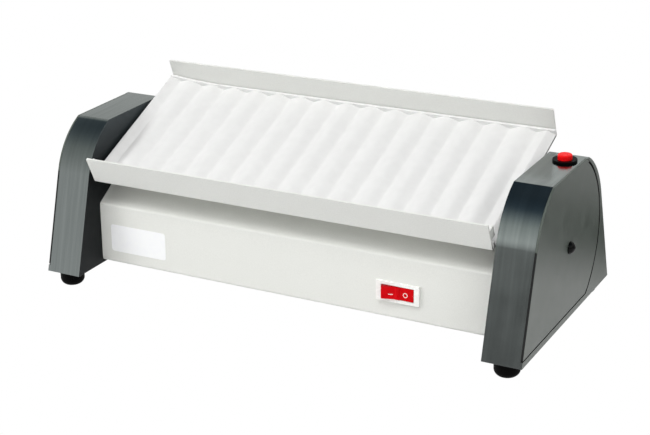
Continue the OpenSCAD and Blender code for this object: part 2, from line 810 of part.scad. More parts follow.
// Axles: a head inside the bracket and a journal out through the bush
module axle(x_end) {
    bar_x(tray_l / 2 - bracket_t - axle_head_t, tray_l / 2 - bracket_t, axle_d + 2 * axle_head_rim);
    bar_x(tray_l / 2 - bracket_t - axle_head_t / 2, x_end, axle_d);
}
clip_x = bay_w / 2 + bush_l + clip_gap;
module right_axle() {
    color(steel) on_tray() axle(bay_w / 2 + arm_in_x + arm_t);
}
module left_axle() {
    color(steel) on_tray() mirror([1, 0, 0]) difference() {
        axle(clip_x + clip_t + clip_gap + axle_tip);
        difference() {
            bar_x(clip_x - clip_gap / 2, clip_x + clip_t + clip_gap / 2, axle_d + over);
            bar_x(clip_x - clip_gap, clip_x + clip_t + clip_gap, axle_d - 2 * clip_groove_depth);
        }
    }
}
module axle_clip() {
    groove_d = axle_d - 2 * clip_groove_depth;
    color(steel) on_tray() mirror([1, 0, 0]) along_x(clip_x, clip_t) difference() {
        circle(d = axle_d + 2 * clip_rim);
        circle(d = groove_d + 2 * fixed_gap);
        translate([-groove_d / 2, -axle_d]) square([groove_d, axle_d]);
    }
}
module bush() {
    difference() {
        union() {
            bar_x(-bush_flange_t, 0, bush_flange_d);
            bar_x(-bush_flange_t / 2, bush_l, bush_d);
        }
        bar_x(-bush_flange_t - over, bush_l + over, axle_d + 2 * running_gap);
    }
}
module right_bush() {
    color(soft_black) on_right() translate([0, 0, pivot_h]) bush();
}
module left_bush() {
    color(soft_black) on_left() translate([0, 0, pivot_h]) bush();
}
module thrust_washers() {
    color(steel) on_tray() mirrored_x() difference() {
        bar_x(tray_l / 2, tray_l / 2 + washer_t, washer_d);
        bar_x(tray_l / 2 - over, tray_l / 2 + washer_t + over, axle_d + 2 * fixed_gap);
    }
}

// Drive arm: a hub on the right axle and a slotted blade that hangs down over the crank
module drive_arm() {
    arm_x = bay_w / 2 + arm_in_x;
    color(zinc) on_tray() difference() {
        union() {
            along_x(arm_x, arm_t) {
                circle(d = hub_d);
                translate([-slot_w / 2 - arm_rail, -slot_end]) square([slot_w + 2 * arm_rail, slot_end]);
                translate([0, -slot_end]) circle(r = slot_w / 2 + arm_rail);
            }
            bar_x(arm_x - hub_l, arm_x + arm_t / 2, hub_d);
        }
        along_x(arm_x - over, arm_t + 2 * over) {
            translate([-slot_w / 2, -slot_end]) square([slot_w, slot_end - slot_start]);
            translate([0, -slot_start]) circle(d = slot_w);
            translate([0, -slot_end]) circle(d = slot_w);
        }
        bar_x(arm_x - hub_l - over, arm_x + arm_t + over, axle_d + 2 * fixed_gap);
        translate([arm_x - hub_l / 2, 0, 0]) rotate([-90, 0, 0])
            cylinder(d = small_screw_d + 2 * fixed_gap, h = hub_d);
    }
}
module arm_set_screw() {
    color(soft_black) on_tray() translate([bay_w / 2 + arm_in_x - hub_l / 2, axle_d / 2 + fixed_gap, 0])
        rotate([-90, 0, 0]) difference() {
            cylinder(d = small_screw_d, h = (hub_d - axle_d) / 2);
            translate([0, 0, (hub_d - axle_d) / 4])
                cylinder(d = small_screw_d / 2, h = hub_d, $fn = 6);
        }
}

// Gear motor: a flat round motor with its shaft off centre, two ears and a terminal block
module gear_motor() {
    plate_x = motor_out_x - motor_plate_t;
    color(steel) on_right() difference() {
        union() {
            translate([0, 0, motor_z]) {
                bar_x(motor_in_x, motor_in_x + motor_step_t, motor_step_d);
                bar_x(motor_in_x + motor_step_t / 2, motor_out_x, motor_d);
                along_x(plate_x, motor_plate_t) rotate(motor_ear_turn) {
                    translate([-motor_ear_y, -motor_ear_r]) square([2 * motor_ear_y, 2 * motor_ear_r]);
                    mirrored_corner() translate([motor_ear_y, 0]) circle(r = motor_ear_r);
                }
                rotate([terminal_turn, 0, 0])
                    translate([motor_in_x, -terminal_w / 2, -motor_d / 2 - terminal_h / 2])
                    cube([terminal_t, terminal_w, terminal_h]);
            }
            translate([0, 0, crank_h]) bar_x(motor_out_x - motor_plate_t / 2, motor_out_x + motor_boss_t,
                motor_boss_d);
        }
        translate([0, 0, crank_h]) bar_x(motor_out_x - motor_bore_depth, motor_out_x + motor_boss_t + over,
            shaft_d + 2 * running_gap);
        ear_places() bar_x(plate_x - over, motor_out_x + over, small_screw_d + 2 * screw_gap);
    }
}
// Places of the motor's two ears, on opposite sides of its body
module ear_places() {
    for (turn = [motor_ear_turn, motor_ear_turn + 180])
        translate([0, 0, motor_z]) rotate([turn, 0, 0]) translate([0, motor_ear_y, 0]) children();
}
module motor_posts() {
    post_l = motor_out_x - motor_plate_t - ped_wall;
    color(brass) on_right() ear_places() translate([ped_wall, 0, 0]) difference() {
        rotate([0, 90, 0]) cylinder(d = post_af / cos(30), h = post_l, $fn = 6);
        bar_x(ped_wall, post_l + over, small_screw_d);
    }
}
module motor_screws() {
    color(steel) on_right() ear_places() translate([motor_out_x, 0, 0])
        mirror([1, 0, 0]) pan_screw(small_screw_d - 2 * fixed_gap, small_head_d, small_head_h,
            motor_t - 2 * ped_wall);
}

// Crank: shaft, disc and pin turn together about the crank's axis
module on_crank() {
    on_right() translate([0, 0, crank_h]) rotate([-crank_swing, 0, 0]) children();
}
module motor_shaft() {
    color(steel) on_crank() bar_x(motor_out_x - motor_bore_depth + motor_back_gap, disc_out_x, shaft_d);
}
module crank_disc() {
    color(zinc) on_crank() difference() {
        bar_x(disc_in_x, disc_out_x, 2 * disc_r);
        bar_x(disc_in_x - over, disc_out_x + over, shaft_d + 2 * fixed_gap);
        translate([0, 0, crank_throw]) bar_x(disc_in_x - over, disc_out_x + over, pin_foot_d + 2 * fixed_gap);
        for (i = [1:disc_hole_count])
            rotate([(i + 0.5) * disc_hole_step, 0, 0]) translate([0, 0, crank_throw])
                bar_x(disc_in_x - over, disc_out_x + over, disc_hole_d);
    }
}
module crank_pin() {
    color(steel) on_crank() translate([0, 0, crank_throw]) {
        bar_x(disc_in_x, disc_out_x + disc_gap / 2, pin_foot_d);
        bar_x(disc_out_x, arm_in_x + arm_t + pin_over, pin_d);
    }
}

// Power switch: a white body with a red rocker that turns about an axis up the panel
rocker_r = rocker_w / 2;
module on_switch() {
    on_front_panel() translate([switch_x, 0, switch_up]) children();
}
module switch_body() {
    hole_w = rocker_w + 2 * rocker_gap;
    hole_h = rocker_h + 2 * rocker_gap;
    body_w = bezel_w - 2 * switch_side - 2 * switch_cut_gap;
    body_h = bezel_h - switch_side - 2 * switch_cut_gap;
    cavity_d = rocker_axis_in + rocker_core_r + 2 * rocker_gap;
    color(switch_white) on_switch() {
        difference() {
            union() {
                translate([-bezel_w / 2, -bezel_t, -bezel_h / 2]) cube([bezel_w, bezel_t, bezel_h]);
                translate([-body_w / 2, -bezel_t / 2, -body_h / 2]) cube([body_w, switch_depth, body_h]);
            }
            translate([-hole_w / 2, -bezel_t - over, -hole_h / 2])
                cube([hole_w, cavity_d + over, hole_h]);
            translate([0, rocker_axis_in - bezel_t, 0])
                cylinder(d = rocker_pin_d + 2 * running_gap, h = hole_h + 2 * (rocker_pin_l + running_gap),
                    center = true);
        }
        for (i = [-1:1])
            translate([i * lug_pitch - lug_t / 2, switch_depth - bezel_t, -lug_w / 2])
                cube([lug_t, lug_l, lug_w]);
    }
}
// The rocker's round ends are struck from its own axis; its face is a shallow V
module power_rocker() {
    edge = rocker_axis_in + rocker_edge_out;
    middle = rocker_axis_in - rocker_middle_in;
    color(signal_red) on_switch() translate([0, rocker_axis_in - bezel_t, 0]) rotate([0, 0, rocker_tilt]) {
        linear_extrude(height = rocker_h, center = true) {
            intersection() {
                circle(r = rocker_r);
                polygon([
                    [-rocker_r, 0], [-rocker_r, -edge], [0, -middle], [rocker_r, -edge], [rocker_r, 0]]);
            }
            circle(r = rocker_core_r);
        }
        cylinder(d = rocker_pin_d, h = rocker_h + 2 * rocker_gap + 2 * rocker_pin_l, center = true);
    }
}

// Push button on the right pedestal's top: collar and barrel, nut, button and return spring
module on_button() {
    on_right() translate([ped_t / 2 + button_out, button_y, ped_h]) children();
}
module button_collar() {
    bore_d = button_d + 2 * button_gap;
    color(soft_black) on_button() {
        difference() {
            union() {
                cylinder(d = collar_d, h = collar_t);
                translate([0, 0, -barrel_l]) cylinder(d = barrel_d, h = barrel_l + collar_t / 2);
            }
            translate([0, 0, -barrel_l + barrel_floor]) cylinder(d = bore_d, h = barrel_l + collar_t);
        }
        for (side = [-1, 1])
            translate([side * barrel_d / 4 - lug_t / 2, -lug_w / 2, -barrel_l - lug_l / 2])
                cube([lug_t, lug_w, lug_l / 2 + barrel_floor / 2]);
    }
}
module button_nut() {
    color(zinc) on_button() translate([0, 0, -ped_wall - button_nut_t]) rotate([0, 0, 30]) difference() {
        cylinder(d = button_nut_af / cos(30), h = button_nut_t, $fn = 6);
        translate([0, 0, -over]) cylinder(d = barrel_d + 2 * fixed_gap, h = button_nut_t + 2 * over);
    }
}
button_top = collar_t + button_rise;
module red_button() {
    color(signal_red) on_button() rotate_extrude() polygon([
        [0, button_top - button_body_l], [button_d / 2, button_top - button_body_l],
        [button_d / 2, button_top - button_edge], [button_d / 2 - button_edge, button_top],
        [0, button_top]]);
}
// Points of a ring of the spring's wire at the angle a, at the height z
function wire_ring(a, z) =
    [for (s = [0:spring_sides - 1])
        let (g = 360 * s / spring_sides, r = spring_r + spring_wire / 2 * cos(g))
        [r * cos(a), r * sin(a), z + spring_wire / 2 * sin(g)]];
module button_spring() {
    low = barrel_floor - barrel_l + spring_wire / 2 + running_gap;
    high = button_top - button_body_l - spring_wire / 2 - running_gap;
    rings = spring_turns * spring_steps;
    points = [for (i = [0:rings]) each wire_ring(360 * i / spring_steps, low + (high - low) * i / rings)];
    sides = [for (i = [0:rings - 1]) for (s = [0:spring_sides - 1])
        let (a = i * spring_sides, n = (s + 1) % spring_sides)
        [a + s, a + spring_sides + s, a + spring_sides + n, a + n]];
    first = [for (s = [0:spring_sides - 1]) s];
    last = [for (s = [spring_sides - 1:-1:0]) rings * spring_sides + s];
    color(steel) on_button() polyhedron(points = points, faces = concat(sides, [first], [last]));
}

// Power inlet in the rear panel, with three blades in its socket
module on_inlet() {
    on_rear_panel() translate([inlet_x, 0, inlet_up]) children();
}
module socket_outline() {
    w = socket_w / 2;
    h = socket_h / 2;
    polygon([
        [-w, -h], [w, -h], [w, h - socket_chamfer], [w - socket_chamfer, h],
        [-w + socket_chamfer, h], [-w, h - socket_chamfer]]);
}
module power_inlet() {
    color(soft_black) on_inlet() difference() {
        union() {
            translate([-inlet_w / 2, -inlet_flange_t, -inlet_h / 2]) cube([inlet_w, inlet_flange_t, inlet_h]);
            translate([-inlet_body_w / 2, -inlet_flange_t / 2, -inlet_body_h / 2])
                cube([inlet_body_w, inlet_depth, inlet_body_h]);
        }
        translate([0, socket_depth / 2 - inlet_flange_t, 0]) along_y(socket_depth) socket_outline();
        translate([0, -inlet_flange_t - over / 2, 0]) along_y(over) socket_outline();
        blade_places() cube([pin_blade_w + 2 * fixed_gap, pin_blade_l, pin_blade_h + 2 * fixed_gap],
            center = true);
    }
}
module blade_places() {
    for (p = [[-pin_spread, -pin_rise], [pin_spread, -pin_rise], [0, pin_rise]])
        translate([p[0], pin_recess - inlet_flange_t + pin_blade_l / 2, p[1]]) children();
}
module inlet_pins() {
    color(brass) on_inlet() blade_places() cube([pin_blade_w, pin_blade_l, pin_blade_h], center = true);
}
// Rubber grommet where the wires pass from the base into the right pedestal
module wire_grommet() {
    color(rubber_black) on_right() translate([0, wire_y, wire_z]) difference() {
        union() {
            bar_x(-grommet_t, 0, wire_hole_d + 2 * grommet_rim);
            bar_x(-grommet_t / 2, ped_wall + grommet_t / 2, wire_hole_d - 2 * fixed_gap);
            bar_x(ped_wall, ped_wall + grommet_t, wire_hole_d + 2 * grommet_rim);
        }
        bar_x(-grommet_t - over, ped_wall + grommet_t + over, wire_hole_d - 2 * grommet_rim);
    }
}

right_housing();
left_housing();
right_cover();
left_cover();
cover_plugs();
base_cover();
base_plate();
plate_screws();
frame_screws();
feet();
foot_screws();
tray_pan();
tube_mat();
right_tray_bracket();
left_tray_bracket();
tray_screws();
tray_nuts();
right_axle();
left_axle();
right_bush();
left_bush();
thrust_washers();
axle_clip();
drive_arm();
arm_set_screw();
gear_motor();
motor_posts();
motor_screws();
motor_shaft();
crank_disc();
crank_pin();
switch_body();
power_rocker();
button_collar();
button_nut();
red_button();
button_spring();
power_inlet();
inlet_pins();
wire_grommet();
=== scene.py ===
"""A rocking shaker for test tubes, shown as it stands on a pale floor.

This script gives each part its finish and softened edges, with painted shade: black in the grooves round the
side covers, nearly black low on the pedestals' inner faces and maroon along the rocker's upper edge. It adds
the mat's ridges as measured, the bare label and the switch's marks.
"""
import json
import math

import bmesh
import bpy
from mathutils import Matrix, Vector


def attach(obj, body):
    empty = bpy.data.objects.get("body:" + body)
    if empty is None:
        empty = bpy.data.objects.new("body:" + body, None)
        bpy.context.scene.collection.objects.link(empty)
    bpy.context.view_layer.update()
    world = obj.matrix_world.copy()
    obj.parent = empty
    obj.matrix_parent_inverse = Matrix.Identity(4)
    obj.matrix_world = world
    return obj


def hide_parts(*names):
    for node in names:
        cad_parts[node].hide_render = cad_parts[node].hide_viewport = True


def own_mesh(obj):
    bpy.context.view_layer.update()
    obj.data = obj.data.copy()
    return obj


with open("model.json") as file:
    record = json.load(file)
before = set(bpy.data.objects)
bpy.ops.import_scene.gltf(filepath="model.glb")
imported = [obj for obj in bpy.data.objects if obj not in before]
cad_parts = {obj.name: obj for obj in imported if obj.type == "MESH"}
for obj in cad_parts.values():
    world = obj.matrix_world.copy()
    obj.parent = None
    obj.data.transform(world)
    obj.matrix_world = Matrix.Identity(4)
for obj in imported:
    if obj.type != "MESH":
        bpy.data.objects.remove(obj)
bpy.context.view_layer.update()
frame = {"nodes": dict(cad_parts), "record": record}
MM = 0.001
BODY_OF = {n: b for b, ns in frame["record"]["behaviour"]["bodies"].items() for n in ns}

# Sizes that the added pieces share with the construction, in millimetres
TRAY_RISE, TRAY_SHEET, REST_TILT, AXIS_Z = 5.6, 1.2, math.radians(21.5), 92.2
RIDGE_PITCH, RIDGE_RISE, VALLEY_T = 19, 3.0, 1.6
RIM_W, RIM_T, MAT_L, MAT_D = 2.0, 5.0, 306.6, 115.6
RIDGE_SHIFT, END_FLAT, CURL_RISE, CURL_REACH = 6.5, 6, 3.7, 50
PANEL_LEAN, BASE_HALF, BASE_Z = math.radians(2.2), 51.5, 12.8
SWITCH_X, SWITCH_UP, ROCKER_AXIS, ROCKER_TILT = 83.8, 19.4, 0.3, math.radians(8)
ROCKER_HALF, ROCKER_EDGE, ROCKER_MIDDLE, BUTTON_TRAVEL = 11.8, 4.1, 2.0, 2
BAY_HALF, PED_T, LEDGE_X, CRANK_Z, RECESS_R, RECESS_Z = 155.5, 27.4, 25.9, 62.3, 59.1, 15.2
SEAM_TOP, SLIT_TOP = 70, 113


# Colours and node trees

def colour(code):
    """sRGB hex to linear RGBA."""
    parts = [int(code[i:i + 2], 16) / 255 for i in (0, 2, 4)]
    return [c / 12.92 if c <= 0.04045 else ((c + 0.055) / 1.055) ** 2.4 for c in parts] + [1.0]


def add(tree, kind, inputs=None, **settings):
    """Adds one node; a socket given as an input is linked, a node by its first output, all else is set."""
    made = tree.nodes.new(kind)
    for name, value in settings.items():
        setattr(made, name, value)
    for name, value in (inputs or {}).items():
        socket = made.inputs[name]
        value = value.outputs[0] if isinstance(value, bpy.types.Node) else value
        if isinstance(value, bpy.types.NodeSocket):
            tree.links.new(value, socket)
        else:
            socket.default_value = value
    return made


def new_material(name):
    """A material and its node tree, emptied."""
    material = bpy.data.materials.new(name)
    material.use_nodes = True
    material.node_tree.nodes.clear()
    return material, material.node_tree


def close(tree, shader):
    """Makes the shader the material's surface."""
    add(tree, "ShaderNodeOutputMaterial", {"Surface": shader})


def grain(tree, size_mm, stretch=(1, 1, 1), detail=3.0):
    """Noise in object coordinates with features of about size_mm, drawn out along the axes by stretch."""
    place = add(tree, "ShaderNodeTexCoord").outputs["Object"]
    scale = [1 / (size_mm * MM * s) for s in stretch]
    placed = add(tree, "ShaderNodeMapping", {"Vector": place, "Scale": scale})
    return add(tree, "ShaderNodeTexNoise", {"Vector": placed.outputs[0], "Scale": 1.0, "Detail": detail})


# Range of a noise that holds nearly all of its values
NOISE_LOW, NOISE_HIGH = 0.3, 0.7


def spread(tree, factor, low, high):
    """Stretches the middle of a noise to the range low to high."""
    inputs = {"Value": factor, "From Min": NOISE_LOW, "From Max": NOISE_HIGH, "To Min": low, "To Max": high}
    return add(tree, "ShaderNodeMapRange", inputs).outputs["Result"]


def finish_material(name, dark, light, size_mm, rough, metal=0.0, bump_mm=0.0, shine=0.5):
    """A finish whose shade, roughness and relief follow one grain; shine is the specular level."""
    material, tree = new_material(name)
    noise = grain(tree, size_mm).outputs["Fac"]
    shades = {0: spread(tree, noise, 0, 1), 6: colour(dark), 7: colour(light)}
    inputs = {
        "Base Color": add(tree, "ShaderNodeMix", shades, data_type="RGBA").outputs[2],
        "Roughness": spread(tree, noise, *rough),
        "Metallic": metal,
        "Specular IOR Level": shine,
    }
    if bump_mm:
        height = {"Height": noise, "Distance": bump_mm * MM, "Strength": 1.0}
        inputs["Normal"] = add(tree, "ShaderNodeBump", height).outputs["Normal"]
    close(tree, add(tree, "ShaderNodeBsdfPrincipled", inputs).outputs["BSDF"])
    return material


def painted_shade_material(name, dark, light, above, heights_mm, rough, shine):
    """A finish with a fine grain whose colour turns to the colour above between two heights; used to paint
    shade that changes with height.
    """
    material, tree = new_material(name)
    noise = grain(tree, 5).outputs["Fac"]
    place = add(tree, "ShaderNodeTexCoord").outputs["Object"]
    height = add(tree, "ShaderNodeSeparateXYZ", {0: place}).outputs["Z"]
    rise = {"Value": height, "From Min": heights_mm[0] * MM, "From Max": heights_mm[1] * MM}
    shades = {0: spread(tree, noise, 0, 1), 6: colour(dark), 7: colour(light)}
    low = add(tree, "ShaderNodeMix", shades, data_type="RGBA").outputs[2]
    shade = add(tree, "ShaderNodeMix", {
        0: add(tree, "ShaderNodeMapRange", rise), 6: low, 7: colour(above)}, data_type="RGBA").outputs[2]
    bump = add(tree, "ShaderNodeBump", {"Height": noise, "Distance": 0.004 * MM, "Strength": 1.0})
    close(tree, add(tree, "ShaderNodeBsdfPrincipled", {
        "Base Color": shade, "Roughness": spread(tree, noise, *rough), "Specular IOR Level": shine,
        "Normal": bump.outputs["Normal"]}).outputs["BSDF"])
    return material


# Brushed sheet: width of hair lines and streaks in mm, how many times longer they are, and size of clouds
HAIR_MM, HAIR_LONG, STREAK_MM, STREAK_LONG, CLOUD_MM = 0.28, 160, 2.4, 30, 22
HAIR_SHARE, STREAK_SHARE, HAIR_DEPTH, SHEET_ROUGH = 0.3, 0.7, 0.006, (0.13, 0.19)


def brushed_sheet(name, dark, light):
    """Brushed and tinted sheet, with hair lines and broader streaks that run up it."""
    material, tree = new_material(name)
    hair = grain(tree, HAIR_MM, (1, HAIR_LONG, HAIR_LONG), 2.0).outputs["Fac"]
    cloud = grain(tree, CLOUD_MM).outputs["Fac"]
    broad = grain(tree, STREAK_MM, (1, STREAK_LONG, STREAK_LONG)).outputs["Fac"]
    streak = spread(tree, broad, 0, STREAK_SHARE)
    tone = add(tree, "ShaderNodeMath", {0: hair, 1: HAIR_SHARE, 2: streak}, operation="MULTIPLY_ADD")
    shades = {0: tone, 6: colour(dark), 7: colour(light)}
    shade = add(tree, "ShaderNodeMix", shades, data_type="RGBA").outputs[2]
    bump = add(tree, "ShaderNodeBump", {"Height": hair, "Distance": HAIR_DEPTH * MM, "Strength": 1.0})
    close(tree, add(tree, "ShaderNodeBsdfPrincipled", {
        "Base Color": shade, "Metallic": 1.0,
        "Roughness": spread(tree, cloud, *SHEET_ROUGH), "Normal": bump.outputs["Normal"]}).outputs["BSDF"])
    return material


# Finishes, each named for what it is

# Graphite tint over brushed sheet, wrapped round the pedestals: it mirrors the studio softly
graphite = brushed_sheet("graphite_brushed_sheet", "7c8281", "8e9493")
# Inner faces of the pedestals: dull dark paint with hardly any shine, with painted shade: nearly black below
# 84 mm, where the tray shades them, and lighter from 112 mm up
inner_paint_painted_shade = painted_shade_material("dark_paint_painted_shade_low", "0c0f11", "121618", "3a4043", (84, 112), (0.5, 0.6), 0.2)
# Lacquer of the side covers and the rims round them: a little greener, satin
cover_paint = finish_material("cover_lacquer", "4f5650", "575e58", 14, (0.32, 0.4), 0, 0.006)
# Powder coat on the base cover: light warm grey with a very slight orange peel
base_coat = finish_material("light_grey_powder_coat", "e4e5e0", "e9eae5", 0.7, (0.42, 0.5), 0, 0.012)
# Powder coat on the tray: the same paint, a shade cooler
tray_coat = finish_material("tray_powder_coat", "e2e3df", "e8e9e5", 0.7, (0.42, 0.5), 0, 0.012)
# Tube mat: soft white plastic sheet, matt, with faint clouds
mat_skin = finish_material("soft_white_mat", "e4e4e3", "e8e8e7", 6, (0.5, 0.6), 0, 0.012)
# Rubber of feet and grommet: black and matt
rubber = finish_material("black_rubber", "060606", "0d0d0d", 0.5, (0.45, 0.6), 0, 0.01, 0.03)
# Turned steel: a fine even grain
steel = finish_material("turned_steel", "9c9fa3", "b4b7bb", 0.3, (0.25, 0.38), 1.0, 0.004)
# Zinc plated sheet: bright grey with soft blotches
zinc = finish_material("zinc_plate", "8f9296", "a6a9ac", 3, (0.35, 0.5), 1.0, 0.004)
# Bare brass of bushes, posts and blades
brass = finish_material("bare_brass", "b08d45", "c9a85a", 1.2, (0.3, 0.42), 1.0, 0.004)
# Moulded white plastic of the switch's body: glossy
white_plastic = finish_material("white_moulding", "f6f6f3", "fbfbf8", 2, (0.22, 0.3), 0, 0.004)
# Red rocker: clear red plastic, with a painted shadow: dark maroon along its upper edge, where the bezel
# shades it
rocker_red_painted_shadow = painted_shade_material("rocker_red_painted_shadow", "cf000a", "d80612", "5c0a14", (36.4, 37.2), (0.15, 0.24), 0.06)
# Red button: opaque glossy red plastic
button_red = finish_material("button_red", "f40a10", "fd1418", 2, (0.24, 0.34), 0, 0.004, 0.1)
# Dome plugs in the side covers: black and glossy
plug_black = finish_material("glossy_black_plug", "050506", "0a0b0b", 0.8, (0.14, 0.22), 0, 0.003, 0.12)
# Painted shade: dull black on the ledge and walls of the grooves round the side covers and on the covers'
# edges along them, where deep shade falls
groove_painted_shade = finish_material("black_painted_groove_shade", "050506", "0b0c0c", 0.8, (0.6, 0.7), 0, 0.004)
# Black plastic of collar and inlet: satin
black_plastic = finish_material("black_moulding", "060607", "0d0e0e", 0.6, (0.3, 0.42), 0, 0.006, 0.05)
# Print on the rocker: white with a little red from the plastic round it
white_print = finish_material("white_print", "f4dcd9", "f8e4e1", 0.8, (0.4, 0.5))
# Blank label: smooth white film
label_film = finish_material("blank_white_film", "fafbfd", "fdfefe", 5, (0.3, 0.38))

FINISH = {
    "graphite_housing": graphite, "grey_cover": cover_paint, "light_grey_sheet": base_coat,
    "tray_sheet": tray_coat, "white_mat": mat_skin, "black_rubber": rubber, "steel": steel,
    "zinc_plate": zinc, "brass": brass, "white_plastic": white_plastic, "red_plastic": button_red,
    "black_plastic": black_plastic,
}
SLOT_OF = {s["node"]: s["material_slot"] for s in frame["record"]["subparts"]}
for node_name, cad in frame["nodes"].items():
    cad.data.materials.clear()
    cad.data.materials.append(FINISH[SLOT_OF[node_name]])


# Pieces

def make_piece(name, mesh, body, slot_name, material, *nodes):
    """Puts a mesh into the scene as a piece that rides on a body and stands for the given nodes."""
    piece = bpy.data.objects.new(name, mesh)
    bpy.context.scene.collection.objects.link(piece)
    mesh.materials.clear()
    mesh.materials.append(material)
    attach(piece, body)
    if nodes:
        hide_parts(*nodes)
    return piece


def as_built(mesh, *modifiers):
    """The mesh with modifiers worked in; each is (kind, settings)."""
    helper = bpy.data.objects.new("helper", mesh)
    bpy.context.scene.collection.objects.link(helper)
    for kind, settings in modifiers:
        modifier = helper.modifiers.new(kind.lower(), kind)
        for key, value in settings.items():
            setattr(modifier, key, value)
    graph = bpy.context.evaluated_depsgraph_get()
    built = bpy.data.meshes.new_from_object(helper.evaluated_get(graph), depsgraph=graph)
    bpy.data.objects.remove(helper)
    return built


# Edges that turn by more than SHARP are rounded; points closer than WELD are one, flat faces within FLAT join
SHARP, FLAT, WELD = math.radians(32), math.radians(0.3), 0.002 * MM
ROUND_STEPS, FACE_WEIGHT = 2, 60


def dressed(node_name, edge_mm, material=None, share=None):
    """A copy of a part with corners rounded by edge_mm, or by the share of it that share() gives a place."""
    mesh = frame["nodes"][node_name].data.copy()
    shape = bmesh.new()
    shape.from_mesh(mesh)
    bmesh.ops.remove_doubles(shape, verts=shape.verts, dist=WELD)
    bmesh.ops.dissolve_limit(shape, angle_limit=FLAT, verts=shape.verts[:], edges=shape.edges[:])
    bmesh.ops.recalc_face_normals(shape, faces=shape.faces)
    weight = shape.edges.layers.float.new("bevel_weight_edge")
    for edge in shape.edges:
        if edge.is_manifold and edge.calc_face_angle() > SHARP:
            middle = (edge.verts[0].co + edge.verts[1].co) / 2 / MM
            edge[weight] = share(middle) if share else 1.0
    shape.to_mesh(mesh)
    shape.free()
    mesh.shade_smooth()
    mesh.set_sharp_from_angle(angle=SHARP)
    steps = []
    if edge_mm:
        steps.append(("BEVEL", {
            "width": edge_mm * MM, "segments": ROUND_STEPS, "limit_method": "WEIGHT",
            "use_clamp_overlap": True, "miter_outer": "MITER_ARC"}))
    steps.append(("WEIGHTED_NORMAL", {"keep_sharp": True, "weight": FACE_WEIGHT}))
    built = as_built(mesh, *steps)
    return make_piece(node_name + "_finished", built, BODY_OF[node_name], SLOT_OF[node_name],
                      material or FINISH[SLOT_OF[node_name]], node_name)


# Radius of each part's softened edges, in millimetres
EDGES = {
    "base_cover": 0.2, "tray_pan": 0.25, "base_plate": 0.2, "feet": 0.4, "button_collar": 0.25,
    "red_button": 0.35, "switch_body": 0.35, "power_inlet": 0.3,
    "plate_screws": 0.15, "foot_screws": 0.15, "frame_screws": 0.15,
    "left_bush": 0.15, "right_bush": 0.15, "thrust_washers": 0.1, "wire_grommet": 0.2, "inlet_pins": 0.2,
    "crank_disc": 0.2, "drive_arm": 0.2, "gear_motor": 0.3,
    "right_tray_bracket": 0.15, "left_tray_bracket": 0.15,
    "right_axle": 0.2, "left_axle": 0.15, "motor_shaft": 0.2, "crank_pin": 0.15, "button_nut": 0.15,
    "tray_screws": 0.08, "tray_nuts": 0.1, "axle_clip": 0.1, "motor_posts": 0.1, "motor_screws": 0.12,
    "arm_set_screw": 0.08,
}
for node_name, edge in EDGES.items():
    dressed(node_name, edge)
dressed("power_rocker", 0.3, rocker_red_painted_shadow)

# The return spring, which shortens as the button goes down, gets a mesh of its own
spring = dressed("button_spring", 0)
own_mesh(spring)
dressed("cover_plugs", 0, plug_black)


# Pedestals: broad corners on the housings, fine ones on both sides of the slit at the cover, and painted shade
# in black on the groove and on the edge where the cover meets the front up to SEAM_TOP
HOUSING_EDGE, COVER_EDGE, SLIT_SHARE, SEAT_SHARE = 0.6, 0.3, 0.25, 0.2
# How far a place may lie from a surface and count as on it; how much of a normal points out on edge and bevel
NEAR_FLAT, NEAR_ROUND, ON_EDGE, ON_BEVEL, ON_SIDE = 0.05, 0.3, 0.6, 0.95, 0.99
# Margins in mm: beside the slit's ledge and the outer face, and behind a flat side
MARGIN, SIDE_MARGIN = 0.5, 1
# Numbers of the housing's materials after its first
SHADED_GROOVE, INNER, RIM = 1, 2, 3


def outwards(place):
    """Distance of a place from its pedestal's inner face, in millimetres."""
    return abs(place.x) - BAY_HALF


def corner_share(place):
    """Share of the corners' rounding on a housing: small at the slit round the cover."""
    return SLIT_SHARE if outwards(place) > LEDGE_X - MARGIN else 1.0


def cover_share(place):
    """Share of the edges' rounding on a cover: small on its inner side."""
    return SEAT_SHARE if outwards(place) < PED_T - MARGIN else 1.0


def on_seam(place, facing_out):
    """Whether a face of a cover is on its edge: along the slit, or in front below the crown."""
    if place.y > 0 or place.z < RECESS_Z + 1:
        return facing_out < ON_BEVEL and place.z < SLIT_TOP
    return facing_out < ON_EDGE and place.z < SEAM_TOP


def in_groove(place):
    """Whether a face of a housing is the ledge behind the cover or a wall of the slit round it."""
    out = outwards(place)
    if not LEDGE_X - NEAR_FLAT < out < PED_T - 0.25:
        return False
    on_arc = place.y > 0 and abs(math.hypot(place.y, place.z - CRANK_Z) - RECESS_R) < NEAR_ROUND
    return abs(out - LEDGE_X) < NEAR_FLAT or on_arc or abs(place.z - RECESS_Z) < NEAR_ROUND


for side in ("right", "left"):
    cover = dressed(side + "_cover", COVER_EDGE, share=cover_share).data
    cover.materials.append(groove_painted_shade)
    # The cover's faces along the slit and the front seam get black painted shade
    for face in cover.polygons:
        if on_seam(face.center / MM, abs(face.normal.x)):
            face.material_index = 1
    housing = dressed(side + "_housing", HOUSING_EDGE, share=corner_share).data
    for material in (groove_painted_shade, inner_paint_painted_shade, cover_paint):
        housing.materials.append(material)
    for face in housing.polygons:
        # The groove's faces get black painted shade; the inner faces get the paint with painted shade low down
        out = outwards(face.center / MM)
        if in_groove(face.center / MM):
            face.material_index = SHADED_GROOVE
        elif abs(face.normal.x) > ON_SIDE and (out < SIDE_MARGIN or out > PED_T - SIDE_MARGIN):
            face.material_index = INNER if out < SIDE_MARGIN else RIM


# Mat: a round ridge, repeated along the tray between two plain rims; its rear left corner has curled up

